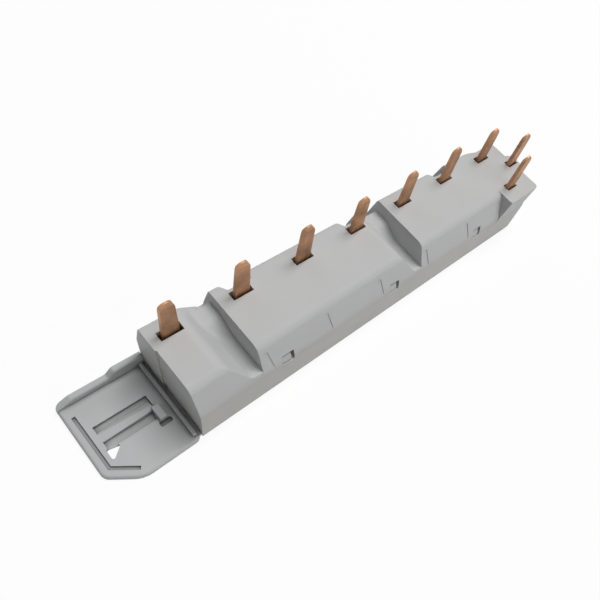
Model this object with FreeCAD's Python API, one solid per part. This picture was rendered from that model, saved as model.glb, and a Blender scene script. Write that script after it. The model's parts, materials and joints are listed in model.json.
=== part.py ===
import FreeCAD, Part
import math
import os

from FreeCAD import Vector

# Comb busbar for a row of one-module devices: a moulded cover over a moulded carrier, with three
# stamped copper combs between them. All sizes are in millimetres.
# X runs along the row of pins, Y from the front to the back, Z up.
# The origin lies under the first pin, in the plane the busbar stands on.

# How far joined shapes run into each other, and how far cutting shapes pass the faces they cut
overlap = 0.5
overcut = 1.0

# Row of pins
module_pitch = 17.8
row_pins = 7
comb_count = 3
phase_spacing = 6.4
end_pin_step = 8.15

# Copper combs
copper_thickness = 1.1
strip_height = 7.4
strip_overhang = 2.0
strip_corner_radius = 1.0
blade_width = 3.9
blade_tip_width = 3.3
blade_lengths = (11.3, 11.35, 11.8)
blade_tip_length = 2.4
blade_root = 2.0
blade_coining = 0.3
blade_coining_length = 1.1
jog_drop = 5.7
bend_radius = 0.8

# Cover
cover_height = 19.8
shoulder_height = 11.8
front_wall_lead = 4.45
front_top_lead = 0.85
back_wall_y = 6.35
back_top_y = 4.0
wall_thickness = 1.5
top_thickness = 1.6
left_margin = 4.9
right_margin = 8.65
inner_shoulder_share = 0.4
front_edge_radius = 2.4
back_edge_radius = 1.0
shoulder_radius = 9.0
end_step_depth = 0.3
end_step_y = -2.35
foot_slot_places = (-2.9, -10.8)
foot_slot_width = 1.4
foot_slot_height = 1.7

# End block of the cover, which has a full width top
end_block_lead = 5.3
end_block_lip = 0.8
end_corner_radius = 1.4
end_boss_wall = 0.75
end_boss_half_width = 1.9
end_boss_flare = 1.6
end_boss_radius = 1.2
end_relief_y = 2.65
end_relief_start = 1.5
end_relief_lead = 4.0

# Slots that the blades pass through
slot_length = 5.4
slot_width = 2.3
end_slot_length = 4.4
slot_foot_rise = 0.5

# Clearance channels between groups of pins
channel_after_pins = (1, 4)
channel_lead = 4.0
channel_narrow_width = 1.9
channel_facet_gap = 5.9
channel_back_y = 3.8
channel_back_share = 0.55
channel_step_y = -1.0
channel_step_length = 4.2
channel_mid_share = 0.2
channel_front_share = 0.14
channel_top_radius = 3.5
channel_foot_radius = 2.0
channel_break_radius = 4.0
channel_back_radius = 1.0

# Snap windows in the front wall and hook notches in the back edge
snap_pins = (2, 4, 6)
window_start = -0.5
window_width = 3.4
window_drop = 1.1
window_height = 3.1
window_inner_reach = 1.1
notch_clearance = 0.4
notch_start = -3.6
notch_taper = 1.4
notch_lead = 2.2
notch_end = 4.1
notch_y = 1.9
notch_wall = 0.9

# Cell marks: shallow grooves down the sloping front face
groove_lead = 4.3
groove_lean = 1.1
groove_width = 1.1
groove_depth = 0.2

# Carrier
floor_thickness = 1.3
floor_lap = 1.5
fit_clearance = 0.15
locator_width = 1.6
locator_height = 3.2
locator_front_gap = 2.0
locator_back_gap = 0.6
snap_arm_width = 2.4
snap_arm_thickness = 1.15
snap_nose_gap_below = 0.2
snap_nose_gap_above = 0.5
snap_nose_recess = 0.3

# Barriers and insulating sheet between the copper combs
barrier_thickness = 1.0
strip_clearance = 0.5
sheet_thickness = 0.7
sheet_front_lead = 1.05
sheet_back_y = 4.2
tab_clearance = 0.3

# Lap tray at the left end of the carrier
tray_back_left_x = -25.45
tray_front_left_x = -25.65
tray_front_lip = 0.5
tray_back_lip = 0.4
tray_chamfer_x = 6.33
tray_chamfer_y = 4.98
tray_left_radius = 2.4
tray_front_radius = 6.0
tray_right_radius = 1.6
tray_back_radius = 1.6
tray_rim_radius = 0.7
tray_gap = 0.1
tray_lip_inset = 0.4
tray_wall_thickness = 1.4
tray_wall_high = 3.9
tray_wall_low = 2.2
tray_wall_step_x = -11.9
tray_wall_step_length = 1.6
tray_wall_end_drop = 1.5
tray_wall_end_length = 3.5
tray_wall_edge_radius = 0.6
rib_x = -6.5
rib_thickness = 0.8
rib_height = 1.5
rib_front_inset = 1.3
rib_back_inset = 0.2
gutter_front_inset = 1.9
gutter_depth = 0.8
groove_line_width = 0.85
groove_line_depth = 0.6
groove_line_inset = 1.7
groove_line_start = 4.2
groove_line_reach = 5.0
tongue_left_x = -21.7
tongue_right_x = -9.6
tongue_back_y = -3.1
tongue_width = 2.9
tongue_rise = 0.8
tongue_back_slope = 1.7
tongue_front_radius = 0.3
tongue_crest_radius = 1.2
slit_width = 1.3
slit_depth = 1.0
front_slit_width = 2.2
front_slit_depth = 1.0
front_slit_end_gap = 0.6
hook_width = 1.8
hook_length = 3.2
hook_rise = 1.6
hook_overrun = 0.4
hook_edge_radius = 0.3
pocket_length = 2.9
pocket_width = 1.3
pocket_lead = 0.9
pocket_radius = 0.4
hole_x = -22.1
hole_y = -11.0
hole_length = 3.2
hole_width = 3.35
hole_skew = 0.7
hole_radius = 0.4


def row_pin_x(number):
    """Place of a pin of the row along X, counted from one."""
    return (number - 1) * module_pitch


def phase_y(comb):
    """Middle plane of a copper strip; comb 0 stands under the row of pins."""
    return -comb * phase_spacing


# Places that follow from the driving sizes
last_phase_y = phase_y(comb_count - 1)
front_wall_y = last_phase_y - front_wall_lead
front_top_y = last_phase_y - front_top_lead
sheet_front_y = last_phase_y - sheet_front_lead
tray_front_y = front_wall_y - tray_front_lip
tray_back_y = back_wall_y + tray_back_lip
last_row_x = row_pin_x(row_pins)
middle_end_pin_x = last_row_x + end_pin_step
cover_left_x = -left_margin
cover_right_x = last_row_x + right_margin
end_block_x = last_row_x - end_block_lead
boss_right_x = middle_end_pin_x + end_slot_length / 2 + end_boss_wall
inner_left_x = cover_left_x + wall_thickness
tray_right_x = cover_left_x - tray_gap
inner_right_x = cover_right_x - wall_thickness
slope_height = cover_height - shoulder_height
channel_width = module_pitch - channel_facet_gap - channel_lead
channel_wall_run = (channel_width - channel_narrow_width) / slope_height
front_slope = (front_top_y - front_wall_y) / slope_height
back_slope = (back_wall_y - back_top_y) / slope_height
inner_top = cover_height - top_thickness
inner_shoulder_z = shoulder_height - inner_shoulder_share * wall_thickness
window_bottom = shoulder_height - window_drop
snap_nose_bottom = window_bottom + snap_nose_gap_below
snap_nose_top = window_bottom + window_height - snap_nose_gap_above
jog_height = cover_height - jog_drop
end_block_front_y = front_wall_y - end_block_lip
strip_top = floor_thickness + strip_height
sheet_bottom = strip_top + strip_clearance
sheet_top = sheet_bottom + sheet_thickness
notch_bottom = sheet_top + notch_clearance + notch_wall
sheet_left_x = inner_left_x + 2 * fit_clearance


def box(x0, x1, y0, y1, z0, z1):
    return Part.makeBox(x1 - x0, y1 - y0, z1 - z0, Vector(x0, y0, z0))


def prism_along_x(points_yz, x0, x1):
    """Solid with a closed outline in the YZ plane, drawn from x0 to x1."""
    corners = [Vector(x0, y, z) for y, z in points_yz]
    face = Part.Face(Part.makePolygon(corners + corners[:1]))
    return face.extrude(Vector(x1 - x0, 0, 0))


def prism_along_y(points_xz, y0, y1):
    corners = [Vector(x, y0, z) for x, z in points_xz]
    face = Part.Face(Part.makePolygon(corners + corners[:1]))
    return face.extrude(Vector(0, y1 - y0, 0))


def prism_along_z(points_xy, z0, z1):
    corners = [Vector(x, y, z0) for x, y in points_xy]
    face = Part.Face(Part.makePolygon(corners + corners[:1]))
    return face.extrude(Vector(0, 0, z1 - z0))


def rounded_face(points, radii):
    """Flat face on a closed outline whose corners are rounded, in the order of the points."""
    count = len(points)
    starts, ends, edges = [], [], []
    for i, corner in enumerate(points):
        before = (points[i - 1] - corner).normalize()
        after = (points[(i + 1) % count] - corner).normalize()
        half_angle = before.getAngle(after) / 2
        reach = radii[i] / math.tan(half_angle)
        starts.append(corner + before * reach)
        ends.append(corner + after * reach)
    for i, corner in enumerate(points):
        if radii[i] > 0:
            inward = (starts[i] + ends[i]) * 0.5 - corner
            to_centre = math.hypot((starts[i] - corner).Length, radii[i])
            middle = corner + inward.normalize() * (to_centre - radii[i])
            edges.append(Part.Arc(starts[i], middle, ends[i]).toShape())
        following = starts[(i + 1) % count]
        if (following - ends[i]).Length > 1e-6:
            edges.append(Part.makeLine(ends[i], following))
    return Part.Face(Part.Wire(edges))


def rounded_prism_x(points_yz, radii, x0, x1):
    face = rounded_face([Vector(x0, y, z) for y, z in points_yz], radii)
    return face.extrude(Vector(x1 - x0, 0, 0))


def rounded_prism_y(points_xz, radii, y0, y1):
    face = rounded_face([Vector(x, y0, z) for x, z in points_xz], radii)
    return face.extrude(Vector(0, y1 - y0, 0))


def rounded_prism_z(points_xy, radii, z0, z1):
    face = rounded_face([Vector(x, y, z0) for x, y in points_xy], radii)
    return face.extrude(Vector(0, 0, z1 - z0))


# Copper combs

def blade(x, y, comb):
    """Contact blade with a slight taper, a round tip and coined tip edges."""
    root = blade_width / 2
    tip = blade_tip_width / 2
    bottom = strip_top - blade_root if y == phase_y(comb) else cover_height - blade_root
    top = cover_height + blade_lengths[comb]
    shoulder = top - blade_tip_length
    left, right = y - copper_thickness / 2, y + copper_thickness / 2
    corners = [Vector(x + dx, left, z) for dx, z in (
        (-tip, shoulder), (-root, cover_height), (-root, bottom),
        (root, bottom), (root, cover_height), (tip, shoulder))]
    ellipse = Part.Ellipse(Vector(x, left, top), corners[-1], Vector(x, left, shoulder))
    arc = Part.ArcOfEllipse(ellipse, -math.pi / 2, math.pi / 2).toShape()
    outline = Part.Wire(Part.makePolygon(corners).Edges + [arc])
    solid = Part.Face(outline).extrude(Vector(0, right - left, 0))
    coined = [(left - overcut, top - blade_coining_length), (left, top - blade_coining_length),
              (left + blade_coining, top), (right - blade_coining, top),
              (right, top - blade_coining_length), (right + overcut, top - blade_coining_length),
              (right + overcut, bottom - overcut), (left - overcut, bottom - overcut)]
    return solid.common(prism_along_x(coined, x - blade_width, x + blade_width))


def jogged_tab(x, comb):
    """Tab that rises from its strip, crosses over to the row of pins and turns up again."""
    half = copper_thickness / 2
    front = phase_y(comb)
    outline = [
        (front - half, strip_top - overcut), (front - half, jog_height + half),
        (-half, jog_height + half), (-half, cover_height - overcut),
        (half, cover_height - overcut), (half, jog_height - half),
        (front + half, jog_height - half), (front + half, strip_top - overcut)]
    tab = prism_along_x(outline, x - blade_width / 2, x + blade_width / 2)
    inner = [(-half, jog_height + half), (front + half, jog_height - half)]
    outer = [(front - half, jog_height + half), (half, jog_height - half)]
    for radius, bends in ((bend_radius, inner), (bend_radius + copper_thickness, outer)):
        edges = []
        for edge in tab.Edges:
            middle = edge.CenterOfMass
            along_x = abs(edge.BoundBox.XLength - blade_width) < 1e-6
            if along_x and any(math.hypot(middle.y - y, middle.z - z) < 0.01 for y, z in bends):
                edges.append(edge)
        tab = tab.makeFillet(radius, edges)
    return tab


def comb_pins(comb):
    """Row pins of one comb: every third pin, each comb one pin later than the last."""
    return [n for n in range(1, row_pins + 1) if (n - 1) % comb_count == comb]


def end_pin_x(comb):
    """Pin at the right end of a comb, which stands straight above its own strip."""
    return middle_end_pin_x if comb == 1 else last_row_x


def strip_right_x(comb):
    return end_pin_x(comb) + strip_overhang


def copper_comb(comb):
    """One stamped comb: a strip on edge with its tabs and contact blades."""
    y = phase_y(comb)
    half = copper_thickness / 2
    comb_solid = box(-strip_overhang, strip_right_x(comb), y - half, y + half,
                     floor_thickness, strip_top)
    corners = [edge for edge in comb_solid.Edges if abs(edge.BoundBox.YLength - copper_thickness) < 1e-6]
    comb_solid = comb_solid.makeFillet(strip_corner_radius, corners)
    for number in comb_pins(comb):
        x = row_pin_x(number)
        straight = comb == 0
        if straight:
            comb_solid = comb_solid.fuse(blade(x, y, comb))
        else:
            comb_solid = comb_solid.fuse([jogged_tab(x, comb), blade(x, 0, comb)])
    if comb > 0:
        comb_solid = comb_solid.fuse(blade(end_pin_x(comb), y, comb))
    return comb_solid.removeSplitter()


# Cover

def cover_outline(inset, bottom, top):
    """Cross-section of the cover, moved in by a wall thickness, with its sloping shoulders."""
    shoulder = shoulder_height - inner_shoulder_share * inset
    rise = top - shoulder
    back, front = back_wall_y - inset, front_wall_y + inset
    return [(back, bottom), (back, shoulder), (back - rise * back_slope, top),
            (front + rise * front_slope, top), (front, shoulder), (front, bottom)]


def channel_x(after_pin):
    """Left and right limits of a clearance channel."""
    left = row_pin_x(after_pin) + channel_lead
    right = row_pin_x(after_pin + 1) - channel_facet_gap
    return left, right


def channel_floor(drop):
    """Floor line of a channel from its back edge to the front, lowered by a wall thickness."""
    back, middle, front = [shoulder_height + share * slope_height - drop for share in (
        channel_back_share, channel_mid_share, channel_front_share)]
    return [(channel_back_y - drop, back), (channel_step_y, back),
            (channel_step_y - channel_step_length, middle), (end_block_front_y - overcut, front)]


def channel_side(after_pin, bottom, grow):
    """Front view of a channel: a leaning left wall and an upright right wall."""
    left, right = channel_x(after_pin)
    run = (cover_height - bottom) * channel_wall_run
    return [(left - grow, cover_height), (left + run - grow, bottom), (right + grow, bottom),
            (right + grow, cover_height)]


def channel_void(after_pin):
    """Space cut out of the cover between two groups of pins, with soft left side and back edge."""
    left, right = channel_x(after_pin)
    above = cover_height + overcut
    floor = channel_floor(0)
    outside_y = back_wall_y + overcut
    outline = [(outside_y, above), (outside_y, notch_bottom), (channel_back_y, notch_bottom)]
    outline += floor + [(floor[-1][0], above)]
    radii = [0, 0, 0, channel_back_radius, channel_break_radius, channel_break_radius, 0, 0]
    void = rounded_prism_x(outline, radii, left - 2 * overcut, right)
    left_top, left_foot = channel_side(after_pin, notch_bottom - overlap, 0)[:2]
    side = [(left - 2 * overcut, above), (left - 2 * overcut, cover_height), left_top, left_foot,
            (right + overcut, left_foot[1]), (right + overcut, above)]
    void = void.common(rounded_prism_y(side, [0, 0, channel_top_radius, 0, 0, 0],
                                       floor[-1][0] - overcut, outside_y + overcut))
    foot = []
    for edge in void.Edges:
        middle = edge.valueAt((edge.FirstParameter + edge.LastParameter) / 2)
        wall_x = left + (cover_height - middle.z) * channel_wall_run
        on_left_wall = abs(middle.x - wall_x) < 0.05
        on_floor = floor[-1][0] + 0.1 < middle.y < channel_back_y - channel_back_radius - 0.1
        if on_left_wall and on_floor and middle.z < cover_height - overcut:
            foot.append(edge)
    return void.makeFillet(channel_foot_radius, foot)


def channel_block(after_pin):
    """Material kept inside the cover round a channel, one wall thicker than the void."""
    left, right = channel_x(after_pin)
    floor = channel_floor(wall_thickness)
    low = notch_bottom - notch_wall
    outline = [(back_wall_y, low), (floor[0][0], low)] + floor
    outline += [(floor[-1][0], cover_height), (back_wall_y, cover_height)]
    block = prism_along_x(outline, left - wall_thickness, right + wall_thickness)
    side = channel_side(after_pin, low, wall_thickness)
    return block.common(prism_along_y(side, floor[-1][0] - overcut, back_wall_y + overcut))


def notch_outline(number, grow):
    """Plan of a hook notch in the back edge, opened wider towards the back on its left."""
    x = row_pin_x(number)
    left, right = x + notch_start - grow, x + notch_end + grow
    front = notch_y - grow
    return [(left, back_wall_y + overcut), (left, front + notch_lead), (left + notch_taper, front),
            (right, front), (right, back_wall_y + overcut)]


def end_relief_outline(grow):
    """Plan of the recess in the back edge of the end block."""
    start = end_block_x + end_relief_start
    right = boss_right_x + overcut
    return [(start - grow, back_wall_y + overcut), (start - grow, back_top_y - grow),
            (start + end_relief_lead, end_relief_y - grow), (right, end_relief_y - grow),
            (right, back_wall_y + overcut)]


def cover_body():
    """Outer form of the cover: the long rounded section, the end block and its boss."""
    section = cover_outline(0, 0, cover_height)
    radii = [0, shoulder_radius, back_edge_radius, front_edge_radius, shoulder_radius, 0]
    body = rounded_prism_x(section, radii, cover_left_x, cover_right_x)

    block_outline = [(back_top_y - overcut, 0), (back_top_y - overcut, cover_height),
                     (end_block_front_y, cover_height), (front_wall_y, shoulder_height),
                     (front_wall_y, 0)]
    block = prism_along_x(block_outline, end_block_x, cover_right_x)
    corner_edges = [edge for edge in block.Edges
                    if edge.BoundBox.XMin > cover_right_x - 0.01
                    and edge.BoundBox.YMax < front_wall_y + 0.01 and edge.BoundBox.ZLength > 1.0]
    block = block.makeFillet(end_corner_radius, corner_edges)

    boss_y = phase_y(1)
    base_half = end_boss_half_width + end_boss_flare
    boss_points = [(cover_right_x - overcut, boss_y - base_half),
                   (boss_right_x, boss_y - end_boss_half_width),
                   (boss_right_x, boss_y + end_boss_half_width),
                   (cover_right_x - overcut, boss_y + base_half)]
    boss = rounded_prism_z(boss_points, [0, end_boss_radius, end_boss_radius, 0], 0, cover_height)
    return body.fuse([block, boss]).removeSplitter()


def cover_cavity():
    """Hollow of the cover, kept clear of the channels and notches by their own walls."""
    cavity = prism_along_x(cover_outline(wall_thickness, -overcut, inner_top), inner_left_x, inner_right_x)
    boss_y = phase_y(1)
    half = copper_thickness / 2 + 2 * fit_clearance
    pocket = box(inner_right_x - overcut, strip_right_x(1) + fit_clearance,
                 boss_y - half, boss_y + half, -overcut, inner_top)
    cavity = cavity.fuse(pocket)
    kept = [channel_block(number) for number in channel_after_pins]
    recesses = [notch_outline(number, notch_wall) for number in snap_pins]
    recesses.append(end_relief_outline(notch_wall))
    kept += [prism_along_z(outline, notch_bottom - notch_wall, cover_height) for outline in recesses]
    return cavity.cut(kept)


def pin_slot(x, y, length):
    """Slot for one blade, cut from just above where the front slope reaches the foremost slot."""
    foremost_y = last_phase_y - slot_width / 2
    slope_meets_slot = inner_shoulder_z + (foremost_y - front_wall_y - wall_thickness) / front_slope
    return box(x - length / 2, x + length / 2, y - slot_width / 2, y + slot_width / 2,
               slope_meets_slot + slot_foot_rise, cover_height + overcut)


def snap_window(number):
    left = row_pin_x(number) + window_start
    back_y = front_wall_y + wall_thickness + window_inner_reach
    return box(left, left + window_width, front_wall_y - overcut, back_y,
               window_bottom, window_bottom + window_height)


def cell_groove(number):
    """Shallow leaning groove down the sloping front face, left of a pin."""
    top_x = row_pin_x(number) - groove_lead
    bottom_x = top_x + groove_lean
    half = groove_width / 2
    high = cover_height - front_edge_radius
    outline = [(top_x - half, high), (top_x + half, high),
               (bottom_x + half, shoulder_height), (bottom_x - half, shoulder_height)]
    strip = prism_along_y(outline, front_wall_y - overcut, front_top_y + 2 * overcut)
    skin = prism_along_x([(front_wall_y - overlap, shoulder_height - overlap),
                          (front_wall_y + groove_depth, shoulder_height),
                          (front_top_y + groove_depth, cover_height),
                          (front_top_y - overlap, cover_height + overlap)],
                         top_x - overcut, bottom_x + overcut)
    return strip.common(skin)


def base_neck():
    """Gap under the left end wall, through which the carrier's floor leaves the cover."""
    return box(cover_left_x - overcut, inner_left_x + overlap, front_wall_y + wall_thickness,
               back_wall_y - wall_thickness, -overcut, floor_thickness + fit_clearance)


def foot_slot(y):
    """Small slot at the foot of the left end wall."""
    half = foot_slot_width / 2
    return box(cover_left_x - overcut, inner_left_x + overlap, y - half, y + half,
               0, floor_thickness + fit_clearance + foot_slot_height)


def housing_cover():
    """Moulded cover with blade slots, clearance channels, snap windows and cell marks."""
    cover = cover_body()
    cover = cover.cut(cover_cavity())
    tools = [pin_slot(row_pin_x(number), 0, slot_length) for number in range(1, row_pins + 1)]
    tools += [pin_slot(end_pin_x(comb), phase_y(comb), end_slot_length) for comb in range(1, comb_count)]
    tools += [channel_void(number) for number in channel_after_pins]
    tools += [snap_window(number) for number in snap_pins]
    tools += [cell_groove(number) for number in range(2, row_pins)]
    recesses = [notch_outline(number, 0) for number in snap_pins] + [end_relief_outline(0)]
    tools += [prism_along_z(outline, notch_bottom, cover_height + overcut) for outline in recesses]
    tools.append(box(cover_left_x - overcut, cover_left_x + end_step_depth,
                     front_wall_y - overcut, end_step_y, -overcut, cover_height + overcut))
    tools.append(base_neck())
    tools += [foot_slot(y) for y in foot_slot_places]
    return cover.cut(tools).removeSplitter()


# Carrier

def locator(x):
    """Low cross-rib on the carrier floor, notched to hold the strips and the barriers."""
    rib = box(x - locator_width / 2, x + locator_width / 2,
              front_wall_y + wall_thickness + locator_front_gap,
              back_wall_y - wall_thickness - locator_back_gap,
              floor_thickness - overlap, floor_thickness + locator_height)
    notches = []
    for comb in range(comb_count):
        half = copper_thickness / 2 + fit_clearance
        notches.append(box(x - locator_width, x + locator_width, phase_y(comb) - half,
                           phase_y(comb) + half, floor_thickness, cover_height))
    for gap in range(comb_count - 1):
        y = phase_y(gap) - phase_spacing / 2
        half = barrier_thickness / 2 + fit_clearance
        notches.append(box(x - locator_width, x + locator_width, y - half, y + half,
                           floor_thickness, cover_height))
    return rib.cut(notches)


def snap_arm(number):
    """Upright arm inside the front wall, with a nose that stands in a snap window."""
    left = row_pin_x(number) + window_start + fit_clearance
    outer = front_wall_y + wall_thickness + fit_clearance
    inner = outer + snap_arm_thickness
    nose = front_wall_y + snap_nose_recess
    lean = (snap_nose_top - shoulder_height) * front_slope
    outline = [(outer, floor_thickness - overlap), (outer, snap_nose_bottom),
               (nose, snap_nose_bottom), (nose, shoulder_height), (nose + lean, snap_nose_top),
               (inner + lean, snap_nose_top), (inner, shoulder_height),
               (inner, floor_thickness - overlap)]
    return prism_along_x(outline, left, left + snap_arm_width)


def tray_outline():
    return [(tray_back_left_x, tray_back_y),
            (tray_front_left_x, tray_front_y + tray_chamfer_y),
            (tray_front_left_x + tray_chamfer_x, tray_front_y),
            (tray_right_x, tray_front_y), (tray_right_x, tray_back_y)]


def tray_radii():
    return [tray_back_radius, tray_left_radius, tray_front_radius, tray_right_radius, 0]


def tray_plate():
    """Flat plate of the tray with its cut-off corner and a rounded rim on the free sides."""
    plate = rounded_prism_z(tray_outline(), tray_radii(), 0, floor_thickness)
    rim = []
    for edge in plate.Edges:
        box_ = edge.BoundBox
        free_side = box_.XMax < tray_right_x - 0.1 and box_.YMax < tray_back_y - 0.1
        if box_.ZMin > floor_thickness - 0.01 and free_side:
            rim.append(edge)
    plate = plate.makeFillet(tray_rim_radius, rim)
    front_end = box(tray_right_x - overcut, tray_right_x + end_step_depth, front_wall_y + tray_lip_inset,
                    end_step_y - tray_gap, 0, floor_thickness)
    return plate.fuse(front_end)


def tray_back_wall():
    """Wall along the back of the tray, lower over its left half and sinking to the left corner."""
    low = floor_thickness + tray_wall_low
    high = floor_thickness + tray_wall_high
    start_x = tray_back_left_x
    outline = [(start_x, floor_thickness - overlap), (start_x, low - tray_wall_end_drop),
               (start_x + tray_wall_end_length, low),
               (tray_wall_step_x - tray_wall_step_length, low), (tray_wall_step_x, high),
               (tray_right_x, high), (tray_right_x, floor_thickness - overlap)]
    step_radius = tray_wall_step_length / 2
    radii = [0, 0, step_radius, step_radius, step_radius, 0, 0]
    wall = rounded_prism_y(outline, radii, tray_back_y - tray_wall_thickness, tray_back_y)
    upper_edges = [edge for edge in wall.Edges
                   if edge.BoundBox.ZMin > low - tray_wall_end_drop - 0.01 and edge.BoundBox.YLength < 0.01
                   and edge.BoundBox.YMax < tray_back_y - 0.1 and edge.BoundBox.XLength > 0.01]
    wall = wall.makeFillet(tray_wall_edge_radius, upper_edges)
    return wall.common(rounded_prism_z(tray_outline(), tray_radii(), 0, high))


def tray_groove():
    """Narrow groove that follows the free left side and the cut-off corner."""
    inner = groove_line_inset
    corner_x = tray_front_left_x + inner
    slope = tray_chamfer_y / tray_chamfer_x
    normal = math.hypot(slope, 1.0)
    corner_y = tray_front_y + tray_chamfer_y + inner * (normal - slope)
    end_x = corner_x + groove_line_reach
    start_y = tray_back_y - groove_line_start
    end_y = corner_y - groove_line_reach * slope
    width = groove_line_width
    outline = [(corner_x, start_y), (corner_x, corner_y), (end_x, end_y),
               (end_x + width * slope / normal, end_y + width / normal),
               (corner_x + width, corner_y + width * (normal - slope)), (corner_x + width, start_y)]
    return prism_along_z(outline, floor_thickness - groove_line_depth, floor_thickness + overcut)


def tray_latch():
    """Springy latch tongue, tied to the floor at its left end, with a hook at its free end."""
    bottom = floor_thickness - slit_depth
    tip_top = floor_thickness + tongue_rise
    front = tongue_back_y - tongue_width
    start_x = tongue_left_x - overlap
    ramp = prism_along_y([(start_x, bottom), (start_x, floor_thickness),
                          (tongue_left_x, floor_thickness), (tongue_right_x, tip_top),
                          (tongue_right_x, bottom)], front, tongue_back_y)
    section = [(front, bottom), (front, tip_top), (tongue_back_y - tongue_back_slope, tip_top),
               (tongue_back_y, bottom + tongue_front_radius), (tongue_back_y, bottom)]
    section_radii = [0, tongue_front_radius, tongue_crest_radius, 0, 0]
    tongue = ramp.common(rounded_prism_x(section, section_radii, start_x, tongue_right_x))
    hook_left = tongue_right_x - hook_overrun
    hook = box(hook_left, hook_left + hook_width, front - hook_length, front + overlap,
               floor_thickness - overlap, floor_thickness + hook_rise)
    top_edges = [edge for edge in hook.Edges if edge.BoundBox.ZMin > floor_thickness + hook_rise - 0.01]
    hook = hook.makeFillet(hook_edge_radius, top_edges)
    return tongue.fuse(hook).removeSplitter()


def tray_cuts():
    """Slits behind and in front of the latch tongue, pocket before its hook, three-sided hole."""
    bottom = floor_thickness - slit_depth
    top = floor_thickness + overlap
    front = tongue_back_y - tongue_width
    back_slit = box(tongue_left_x, tongue_right_x + hook_overrun, tongue_back_y - tongue_back_slope,
                    tongue_back_y + slit_width, bottom, top)
    front_slit = box(tongue_left_x, tongue_right_x - front_slit_end_gap, front - front_slit_width, front,
                     floor_thickness - front_slit_depth, top)
    pocket_y = front - hook_length
    pocket_x = tongue_right_x - pocket_lead
    pocket_points = [(pocket_x, pocket_y), (pocket_x + pocket_length, pocket_y),
                     (pocket_x + pocket_length, pocket_y - pocket_width),
                     (pocket_x, pocket_y - pocket_width)]
    pocket = rounded_prism_z(pocket_points, [0] + [pocket_radius] * 3, bottom, top)
    hole_points = [(hole_x, hole_y), (hole_x + hole_length, hole_y + hole_width - hole_skew),
                   (hole_x, hole_y + hole_width)]
    hole = rounded_prism_z(hole_points, [hole_radius] * 3, -overcut, floor_thickness + overcut)
    return [back_slit, front_slit, pocket, hole, tray_groove()]


def tray_rib():
    """Low rib across the tray and the gutter between it and the end of the cover."""
    rib = box(rib_x, rib_x + rib_thickness, tray_front_y + rib_front_inset, tray_back_y - rib_back_inset,
              floor_thickness - overlap, floor_thickness + rib_height)
    gutter = box(rib_x + rib_thickness, tray_right_x + overcut, front_wall_y + gutter_front_inset,
                 tray_back_y - tray_wall_thickness, floor_thickness - gutter_depth,
                 floor_thickness + overcut)
    return rib, gutter


def base_carrier():
    """Moulded carrier: floor inside the cover, locators, snap arms and the lap tray."""
    inner_front = front_wall_y + wall_thickness + fit_clearance
    inner_back = back_wall_y - wall_thickness - fit_clearance
    floor = box(cover_left_x - floor_lap, inner_right_x - fit_clearance, inner_front, inner_back,
                0, floor_thickness)
    plate = tray_plate()
    rib, gutter = tray_rib()
    plate = plate.fuse([tray_back_wall(), rib])
    plate = plate.cut(tray_cuts() + [gutter])
    plate = plate.fuse(tray_latch())
    parts = [plate]
    parts += [locator(row_pin_x(number) + module_pitch / 2) for number in range(1, row_pins)]
    parts += [snap_arm(number) for number in snap_pins]
    boss_half = copper_thickness / 2 + 2 * fit_clearance
    foot = box(inner_right_x - overcut, strip_right_x(1), phase_y(1) - boss_half + fit_clearance,
               phase_y(1) + boss_half - fit_clearance, 0, floor_thickness)
    parts.append(foot)
    return floor.fuse(parts).removeSplitter()


# Insulation

def phase_barrier(gap):
    """Upright insulating strip between two neighbouring copper strips."""
    y = phase_y(gap) - phase_spacing / 2
    half = barrier_thickness / 2
    return box(sheet_left_x, inner_right_x - 2 * fit_clearance, y - half, y + half,
               floor_thickness, sheet_bottom)


def insulating_sheet():
    """Flat sheet over the strips and barriers, with a window for each tab that rises through it."""
    sheet = box(sheet_left_x, inner_right_x - 2 * fit_clearance, sheet_front_y, sheet_back_y,
                sheet_bottom, sheet_top)
    windows = []
    for comb in range(comb_count):
        places = [row_pin_x(number) for number in comb_pins(comb)]
        if comb > 0:
            places.append(end_pin_x(comb))
        half = blade_width / 2 + tab_clearance
        depth = copper_thickness / 2 + tab_clearance
        for x in places:
            windows.append(box(x - half, x + half, phase_y(comb) - depth, phase_y(comb) + depth,
                               sheet_bottom - overcut, sheet_top + overcut))
    return sheet.cut(windows)


os.makedirs("parts", exist_ok=True)

nodes = {
    "housing_cover": housing_cover(),
    "base_carrier": base_carrier(),
    "insulating_sheet": insulating_sheet(),
}
for comb in range(comb_count):
    nodes["copper_comb_l%d" % (comb + 1)] = copper_comb(comb)
for gap, name in enumerate(("back", "front")):
    nodes["phase_barrier_" + name] = phase_barrier(gap)

for name, shape in nodes.items():
    shape.exportStep("parts/%s.step" % name)
    print(name, "solids", len(shape.Solids), "valid", shape.isValid(), "volume %.1f" % shape.Volume)
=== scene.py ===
"""Comb busbar: plastic and copper finishes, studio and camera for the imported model."""

import json
import math

import bpy
from bpy.props import FloatProperty, FloatVectorProperty, PointerProperty
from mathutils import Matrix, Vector

bl_info = {
    "name": "Comb busbar looks",
    "version": (1, 0, 0),
    "blender": (4, 5, 0),
    "location": "3D View > Sidebar > Busbar",
    "description": "Finishes for the housing, carrier, copper combs and insulation, with a plain studio",
    "category": "Object",
}

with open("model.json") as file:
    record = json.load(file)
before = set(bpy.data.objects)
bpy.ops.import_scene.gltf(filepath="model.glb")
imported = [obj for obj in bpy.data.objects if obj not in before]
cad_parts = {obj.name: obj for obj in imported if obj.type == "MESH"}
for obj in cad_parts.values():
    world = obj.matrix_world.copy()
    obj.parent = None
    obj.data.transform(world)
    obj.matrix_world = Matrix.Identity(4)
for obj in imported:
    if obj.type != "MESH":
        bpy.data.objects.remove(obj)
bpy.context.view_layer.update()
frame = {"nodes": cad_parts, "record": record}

MILLIMETRE = 0.001

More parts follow.
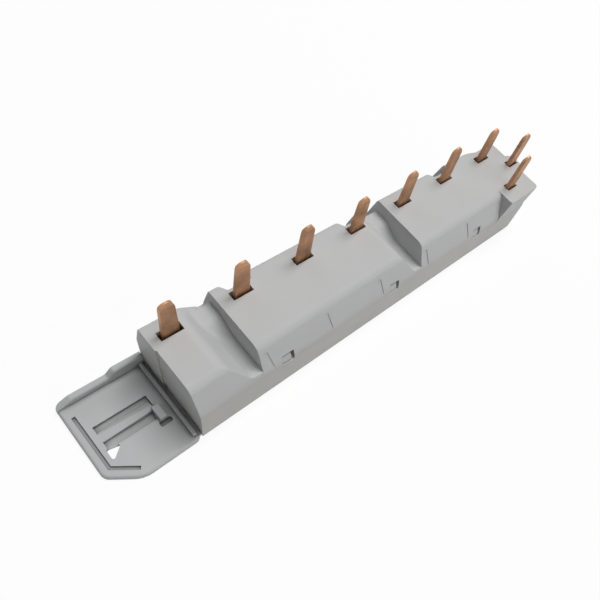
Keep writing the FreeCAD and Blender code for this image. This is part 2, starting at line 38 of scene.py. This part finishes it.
# Cover: where its lower band ends, and over what height the two greys run into each other
SHOULDER_HEIGHT = 11.8 * MILLIMETRE
BAND_BLEND = 1.2 * MILLIMETRE

# Moulded plastic: sizes of its patterns in repeats per metre, and its lesser greys
TONE_SCALE = 90.0
CLOUD_SCALE = 60.0
CLOUD_GREY = (0.42, 0.42, 0.41)
SPECK_SCALE = 2600.0
SPECK_GREY = (0.36, 0.36, 0.35)
FLOW_SCALE = 140.0
FLOW_STRETCH = (1.0, 0.35, 0.35)
GRAIN_SCALE = 3400.0
WAVE_SCALE = 55.0
WAVE_DEPTH = 0.12 * MILLIMETRE
PLASTIC_IOR = 1.5
PLASTIC_SPECULAR = 0.3
CARRIER_LIGHTER = 1.03
# Painted shade: reach and ray count of the ambient occlusion that darkens narrow grooves, slits and inner
# corners, and the dark grey painted there
CREVICE_SHADE_REACH = 1.6 * MILLIMETRE
CREVICE_SHADE_SAMPLES = 16
CREVICE_SHADE_GREY = (0.10, 0.11, 0.11)

# Rolled copper
TONING_SCALE = 160.0
ROLLING_SCALE = 900.0
ROLLING_STRETCH = (2.2, 1.0, 0.07)
ROLLING_COLOUR = (0.80, 0.56, 0.40)
ROLLING_DEPTH = 0.04 * MILLIMETRE
SPOT_SCALE = 1500.0
SPOT_COLOUR = (0.36, 0.17, 0.10)
DENT_SCALE = 320.0
DENT_DEPTH = 0.08 * MILLIMETRE

# Sheet insulation
FIBRE_SCALE = 700.0
FIBRE_STRETCH = (0.2, 1.0, 1.0)
FIBRE_COLOUR = (0.62, 0.61, 0.57)
FIBRE_DEPTH = 0.03 * MILLIMETRE

# Studio: each lamp's name, the setting with its power, its place, its two sides and its tint
LAMPS = (
    ("key_light", "key_watts", (0.37, 0.03, 1.12), (0.36, 0.70), (1.0, 0.995, 0.985)),
    ("front_light", "front_watts", (0.28, -0.86, 0.38), (1.0, 0.7), (1.0, 0.99, 0.975)),
    ("back_light", "back_watts", (0.0, 0.90, 0.32), (1.0, 0.6), (1.0, 0.995, 0.985)),
)
LAMP_TARGET = (0.04, 0, 0.01)
WHITE = (1.0, 1.0, 1.0, 1.0)
SKY_TINT = (0.93, 0.96, 1.0, 1.0)
FLOOR_PAINT = (0.80, 0.80, 0.80, 1.0)
SHADE_PAINT = (0.97, 0.97, 0.97, 1.0)
SHADOW_SHARE = 0.12
FLOOR_GAP = 0.02 * MILLIMETRE
SENSOR_WIDTH = 36.0
NEAREST_SEEN = 5 * MILLIMETRE


def record_colour(slot):
    """Base colour that the record gives to a material slot."""
    for entry in frame["record"]["materials"]:
        if entry["slot"] == slot:
            return tuple(entry["base_color"][:3])
    raise KeyError(slot)


class HousingLook(bpy.types.PropertyGroup):
    top_colour: FloatVectorProperty(
        name="Plastic colour", description="Light grey of the cover, upper faces",
        subtype="COLOR", size=3, min=0, max=1, default=(0.500, 0.507, 0.512))
    band_colour: FloatVectorProperty(
        name="Lower band colour", description="Slightly warmer grey of the cover below its shoulder",
        subtype="COLOR", size=3, min=0, max=1, default=(0.487, 0.484, 0.466))
    tray_colour: FloatVectorProperty(
        name="Carrier colour", description="Grey of the carrier and its lap tray",
        subtype="COLOR", size=3, min=0, max=1, default=(0.468, 0.478, 0.486))
    roughness: FloatProperty(
        name="Roughness", description="Roughness of the moulded plastic",
        subtype="FACTOR", min=0, max=1, default=0.58)
    # Painted shade: how strongly narrow grooves, slits and inner corners are darkened in the colour
    crevice_shade: FloatProperty(
        name="Crevice shade", description="How dark narrow grooves and slits become",
        subtype="FACTOR", min=0, max=1, default=0.8)
    texture_depth: FloatProperty(
        name="Mould texture", description="Depth of the fine spark-eroded texture",
        subtype="DISTANCE", unit="LENGTH", min=0, max=0.0005, default=0.00002, precision=6)


class CopperLook(bpy.types.PropertyGroup):
    bright_colour: FloatVectorProperty(
        name="Bright copper", description="Colour of the rolled sheet",
        subtype="COLOR", size=3, min=0, max=1, default=(0.56, 0.315, 0.182))
    toned_colour: FloatVectorProperty(
        name="Toned copper", description="Colour where the sheet has begun to tone",
        subtype="COLOR", size=3, min=0, max=1, default=(0.28, 0.158, 0.095))
    roughness: FloatProperty(
        name="Roughness", description="Roughness of the rolled sheet",
        subtype="FACTOR", min=0, max=1, default=0.56)


class StageLook(bpy.types.PropertyGroup):
    key_watts: FloatProperty(
        name="Key light", description="Power of the long softbox above, to the right",
        unit="POWER", min=0, default=10.5)
    front_watts: FloatProperty(
        name="Front light", description="Power of the large weak light above the front",
        unit="POWER", min=0, default=3.0)
    back_watts: FloatProperty(
        name="Back light", description="Power of the large weak light above the back",
        unit="POWER", min=0, default=2.0)
    surround: FloatProperty(
        name="Surround", description="Light that comes evenly from all sides",
        min=0, max=2, default=0.045)
    floor_size: FloatProperty(
        name="Floor size", description="Side of the pale floor",
        subtype="DISTANCE", unit="LENGTH", min=0.1, default=4.0)


class CameraSetup(bpy.types.PropertyGroup):
    place: FloatVectorProperty(
        name="Place", description="Where the camera stands",
        subtype="TRANSLATION", unit="LENGTH", size=3, default=(-0.023738, -0.052137, 0.122722))
    turn: FloatVectorProperty(
        name="Turn", description="How the camera is turned",
        subtype="EULER", size=3,
        default=(math.radians(29.155), math.radians(-14.791), math.radians(-43.275)))
    focal_length: FloatProperty(
        name="Focal length", description="For a 36 mm sensor",
        min=1, default=31.31)
    framing: FloatVectorProperty(
        name="Framing", description="Sideways and upward shift of the picture, as a share of its width",
        size=2, default=(-0.1349, 0.0610))


# Node helpers

class Nodes:
    """Short way to lay out the nodes of one material, or of the world."""

    def __init__(self, holder, output="ShaderNodeOutputMaterial"):
        self.holder = holder
        holder.use_nodes = True
        self.tree = holder.node_tree
        self.tree.nodes.clear()
        self.output = self.tree.nodes.new(output)
        self.column = 0

    def node(self, kind, inputs=(), **settings):
        made = self.tree.nodes.new(kind)
        self.column -= 1
        made.location = (self.column * 40, -(self.column % 7) * 160)
        for key, value in settings.items():
            setattr(made, key, value)
        for key, value in dict(inputs).items():
            self.feed(made.inputs[key], value)
        return made

    def feed(self, socket, value):
        if isinstance(value, bpy.types.NodeSocket):
            self.tree.links.new(value, socket)
        elif isinstance(value, bpy.types.Node):
            self.tree.links.new(value.outputs[0], socket)
        else:
            socket.default_value = value

    def object_place(self):
        return self.node("ShaderNodeTexCoord").outputs["Object"]

    def noise(self, place, scale, detail=2.0, roughness=0.5, stretch=None):
        if stretch is not None:
            place = self.node("ShaderNodeMapping", {"Vector": place, "Scale": stretch}).outputs[0]
        made = self.node("ShaderNodeTexNoise", {
            "Vector": place, "Scale": scale, "Detail": detail, "Roughness": roughness})
        return made.outputs["Fac"]

    def remap(self, value, low, high, to_low=0.0, to_high=1.0, smooth=False):
        made = self.node("ShaderNodeMapRange", {
            "Value": value, "From Min": low, "From Max": high, "To Min": to_low, "To Max": to_high},
            interpolation_type="SMOOTHSTEP" if smooth else "LINEAR")
        return made.outputs["Result"]

    def mix(self, share, first, second):
        made = self.node("ShaderNodeMix", data_type="RGBA")
        self.feed(made.inputs["Factor"], share)
        for side, colour in (("A", first), ("B", second)):
            self.feed(made.inputs[side], (*colour, 1.0) if isinstance(colour, tuple) else colour)
        return made.outputs["Result"]

    def larger(self, first, second):
        return self.node("ShaderNodeMath", {0: first, 1: second}, operation="MAXIMUM").outputs[0]

    def bump(self, height, distance, strength, normal=None):
        made = self.node("ShaderNodeBump", {"Height": height, "Distance": distance, "Strength": strength})
        if normal is not None:
            self.feed(made.inputs["Normal"], normal)
        return made.outputs[0]

    def either(self, share, first, second):
        return self.node("ShaderNodeMixShader", {0: share, 1: first, 2: second})

    def seen_directly(self):
        """One for rays from the camera, from gloss and through glass, and nought for all other light."""
        path = self.node("ShaderNodeLightPath")
        seen = self.larger(path.outputs["Is Camera Ray"], path.outputs["Is Glossy Ray"])
        return self.larger(seen, path.outputs["Is Transmission Ray"])

    def close(self, shader):
        self.tree.links.new(shader.outputs[0], self.output.inputs["Surface"])
        return self.holder


def new_material(name):
    return Nodes(bpy.data.materials.new(name))


def dress(node_name, material):
    """Puts a material on every slot of a CAD node."""
    piece = frame["nodes"][node_name]
    if not piece.material_slots:
        piece.data.materials.append(material)
    for slot in piece.material_slots:
        slot.material = material


def moulded_plastic(name, upper, lower, look, change_height=None, shade_crevices=False):
    """Grey moulded plastic: eroded texture, flow marks, cloudy gloss and, if asked, painted shade that
    darkens narrow grooves and corners.
    """
    n = new_material(name)
    place = n.object_place()
    if change_height is None:
        colour = n.mix(n.remap(n.noise(place, TONE_SCALE, 3.0), 0.35, 0.65), upper, lower)
    else:
        height = n.node("ShaderNodeSeparateXYZ", {"Vector": place}).outputs["Z"]
        share = n.remap(height, change_height + BAND_BLEND, change_height - BAND_BLEND, smooth=True)
        colour = n.mix(share, upper, lower)
    clouds = n.noise(place, CLOUD_SCALE, 4.0, 0.6)
    colour = n.mix(n.remap(clouds, 0.3, 0.7, 0.0, 0.10), colour, CLOUD_GREY)
    specks = n.noise(place, SPECK_SCALE, 2.0, 0.7)
    colour = n.mix(n.remap(specks, 0.60, 0.78, 0.0, 0.16, smooth=True), colour, SPECK_GREY)
    # Painted shade: narrow grooves, slits and inner corners darkened in the colour where the ambient
    # occlusion finds them closed in
    if shade_crevices:
        openness = n.node("ShaderNodeAmbientOcclusion", {"Distance": CREVICE_SHADE_REACH},
                          samples=CREVICE_SHADE_SAMPLES, only_local=True)
        crevice_shade_share = n.remap(openness.outputs["AO"], 0.35, 0.90, look.crevice_shade, 0.0)
        colour = n.mix(crevice_shade_share, colour, CREVICE_SHADE_GREY)
    flow_marks = n.noise(place, FLOW_SCALE, 3.0, 0.6, stretch=FLOW_STRETCH)
    gloss = n.remap(flow_marks, 0.3, 0.7, look.roughness - 0.05, look.roughness + 0.06)
    grain = n.bump(n.noise(place, GRAIN_SCALE, 3.0, 0.65), look.texture_depth, 0.55)
    waves = n.bump(n.noise(place, WAVE_SCALE, 2.0), WAVE_DEPTH, 0.35, grain)
    return n.close(n.node("ShaderNodeBsdfPrincipled", {
        "Base Color": colour, "Roughness": gloss, "Normal": waves,
        "IOR": PLASTIC_IOR, "Specular IOR Level": PLASTIC_SPECULAR}))


def rolled_copper(name, look):
    """Bare stamped copper: patches of toning, pale rolling lines, dark spots and faint dents."""
    n = new_material(name)
    place = n.object_place()
    toning = n.noise(place, TONING_SCALE, 4.0, 0.6)
    colour = n.mix(n.remap(toning, 0.32, 0.68), tuple(look.bright_colour), tuple(look.toned_colour))
    lines = n.noise(place, ROLLING_SCALE, 3.0, 0.6, stretch=ROLLING_STRETCH)
    colour = n.mix(n.remap(lines, 0.35, 0.75, 0.0, 0.12), colour, ROLLING_COLOUR)
    spots = n.noise(place, SPOT_SCALE, 2.0, 0.6)
    colour = n.mix(n.remap(spots, 0.62, 0.74, 0.0, 0.4, smooth=True), colour, SPOT_COLOUR)
    rough = n.remap(lines, 0.3, 0.7, look.roughness - 0.07, look.roughness + 0.09)
    relief = n.bump(lines, ROLLING_DEPTH, 0.35)
    relief = n.bump(n.noise(place, DENT_SCALE, 2.0), DENT_DEPTH, 0.4, relief)
    return n.close(n.node("ShaderNodeBsdfPrincipled", {
        "Base Color": colour, "Metallic": 1.0, "Roughness": rough, "Normal": relief}))


def sheet_insulation(name, colour):
    """Off-white sheet plastic with faint fibres."""
    n = new_material(name)
    place = n.object_place()
    fibres = n.noise(place, FIBRE_SCALE, 4.0, 0.6, stretch=FIBRE_STRETCH)
    mixed = n.mix(n.remap(fibres, 0.35, 0.7, 0.0, 0.3), colour, FIBRE_COLOUR)
    return n.close(n.node("ShaderNodeBsdfPrincipled", {
        "Base Color": mixed, "Roughness": n.remap(fibres, 0.3, 0.7, 0.5, 0.62),
        "Normal": n.bump(fibres, FIBRE_DEPTH, 0.4)}))


# Operators

class BUSBAR_OT_finish_cover(bpy.types.Operator):
    """Grey moulded plastic for the housing cover"""
    bl_idname = "busbar.finish_cover"
    bl_label = "Finish the cover"

    def execute(self, context):
        look = context.scene.busbar_housing
        plastic = moulded_plastic("cover_plastic", tuple(look.top_colour), tuple(look.band_colour), look,
                                  SHOULDER_HEIGHT)
        dress("housing_cover", plastic)
        return {"FINISHED"}


class BUSBAR_OT_finish_carrier(bpy.types.Operator):
    """Grey moulded plastic for the carrier with its lap tray, with painted shade in its grooves and slits
    """
    bl_idname = "busbar.finish_carrier"
    bl_label = "Finish the carrier"

    def execute(self, context):
        look = context.scene.busbar_housing
        lighter = tuple(min(1.0, share * CARRIER_LIGHTER) for share in look.tray_colour)
        # The carrier's slits, grooves and corners get painted shade
        plastic = moulded_plastic("carrier_plastic", lighter, tuple(look.tray_colour), look, shade_crevices=True)
        dress("base_carrier", plastic)
        return {"FINISHED"}


class BUSBAR_OT_finish_combs(bpy.types.Operator):
    """Bare rolled copper for the three combs and their blades"""
    bl_idname = "busbar.finish_combs"
    bl_label = "Finish the copper combs"

    def execute(self, context):
        look = context.scene.busbar_copper
        for name in sorted(frame["nodes"]):
            if name.startswith("copper_comb"):
                dress(name, rolled_copper(name + "_sheet", look))
        return {"FINISHED"}


class BUSBAR_OT_finish_insulation(bpy.types.Operator):
    """Off-white sheet for the phase barriers and the sheet over the strips"""
    bl_idname = "busbar.finish_insulation"
    bl_label = "Finish the insulation"

    def execute(self, context):
        sheet = sheet_insulation("insulation_sheet", record_colour("insulation"))
        for name in ("phase_barrier_back", "phase_barrier_front", "insulating_sheet"):
            dress(name, sheet)
        return {"FINISHED"}


def soft_light(name, place, size, watts, tint):
    """Rectangular softbox that faces the busbar."""
    lamp = bpy.data.lights.new(name, "AREA")
    lamp.shape = "RECTANGLE"
    lamp.size, lamp.size_y = size
    lamp.energy = watts
    lamp.color = tint
    holder = bpy.data.objects.new(name, lamp)
    holder.location = place
    holder.rotation_euler = (Vector(LAMP_TARGET) - Vector(place)).to_track_quat("-Z", "Y").to_euler()
    bpy.context.scene.collection.objects.link(holder)


def floor_paint():
    """Plain paint to the light, but white with a trace of shade to the camera, gloss and glass."""
    n = new_material("floor_paint")
    paint = n.node("ShaderNodeBsdfDiffuse", {"Color": FLOOR_PAINT})
    shade = n.node("ShaderNodeBsdfDiffuse", {"Color": SHADE_PAINT})
    white = n.node("ShaderNodeEmission", {"Color": WHITE, "Strength": 1.0})
    return n.close(n.either(n.seen_directly(), paint, n.either(SHADOW_SHARE, white, shade)))


def studio_floor(side):
    half = side / 2
    mesh = bpy.data.meshes.new("studio_floor")
    mesh.from_pydata([(-half, -half, 0), (half, -half, 0), (half, half, 0), (-half, half, 0)],
                     [], [(0, 1, 2, 3)])
    mesh.materials.append(floor_paint())
    floor = bpy.data.objects.new("studio_floor", mesh)
    floor.location.z = -FLOOR_GAP
    bpy.context.scene.collection.objects.link(floor)


def studio_world(strength):
    """Weak even light from all sides, seen as white by the camera, gloss and glass."""
    n = Nodes(bpy.data.worlds.new("studio"), "ShaderNodeOutputWorld")
    light = n.node("ShaderNodeBackground", {"Color": SKY_TINT, "Strength": strength})
    white = n.node("ShaderNodeBackground", {"Color": WHITE, "Strength": 1.0})
    return n.close(n.either(n.seen_directly(), light, white))


def studio_camera(setup):
    lens = bpy.data.cameras.new("camera")
    lens.sensor_width = SENSOR_WIDTH
    lens.lens = setup.focal_length
    lens.shift_x, lens.shift_y = setup.framing
    lens.clip_start = NEAREST_SEEN
    camera = bpy.data.objects.new("camera", lens)
    camera.location = setup.place
    camera.rotation_euler = setup.turn
    bpy.context.scene.collection.objects.link(camera)
    return camera


class BUSBAR_OT_set_stage(bpy.types.Operator):
    """Pale floor, soft lights, white surround and the camera"""
    bl_idname = "busbar.set_stage"
    bl_label = "Set the stage"

    def execute(self, context):
        scene = context.scene
        look = scene.busbar_stage
        studio_floor(look.floor_size)
        for name, power, place, size, tint in LAMPS:
            soft_light(name, place, size, getattr(look, power), tint)
        scene.world = studio_world(look.surround)
        scene.camera = studio_camera(scene.busbar_camera)
        scene.view_settings.view_transform = "Standard"
        return {"FINISHED"}


class BUSBAR_PT_sidebar(bpy.types.Panel):
    """Lists the steps and their settings"""
    bl_label = "Comb busbar"
    bl_idname = "BUSBAR_PT_sidebar"
    bl_space_type = "VIEW_3D"
    bl_region_type = "UI"
    bl_category = "Busbar"

    def draw(self, context):
        for step in OPERATORS:
            self.layout.operator(step.bl_idname, text=step.bl_label)
        for name, group in SETTINGS:
            column = self.layout.column(align=True)
            for key in group.__annotations__:
                column.prop(getattr(context.scene, name), key)


SETTINGS = (("busbar_housing", HousingLook), ("busbar_copper", CopperLook),
            ("busbar_stage", StageLook), ("busbar_camera", CameraSetup))
OPERATORS = (BUSBAR_OT_set_stage, BUSBAR_OT_finish_cover, BUSBAR_OT_finish_carrier,
             BUSBAR_OT_finish_combs, BUSBAR_OT_finish_insulation)


def register():
    for name, group in SETTINGS:
        bpy.utils.register_class(group)
        setattr(bpy.types.Scene, name, PointerProperty(type=group))
    for made in OPERATORS + (BUSBAR_PT_sidebar,):
        bpy.utils.register_class(made)


def unregister():
    for made in reversed(OPERATORS + (BUSBAR_PT_sidebar,)):
        bpy.utils.unregister_class(made)
    for name, group in reversed(SETTINGS):
        delattr(bpy.types.Scene, name)
        bpy.utils.unregister_class(group)


def main():
    register()
    bpy.ops.busbar.set_stage()
    bpy.ops.busbar.finish_cover()
    bpy.ops.busbar.finish_carrier()
    bpy.ops.busbar.finish_combs()
    bpy.ops.busbar.finish_insulation()


if __name__ == "__main__":
    main()
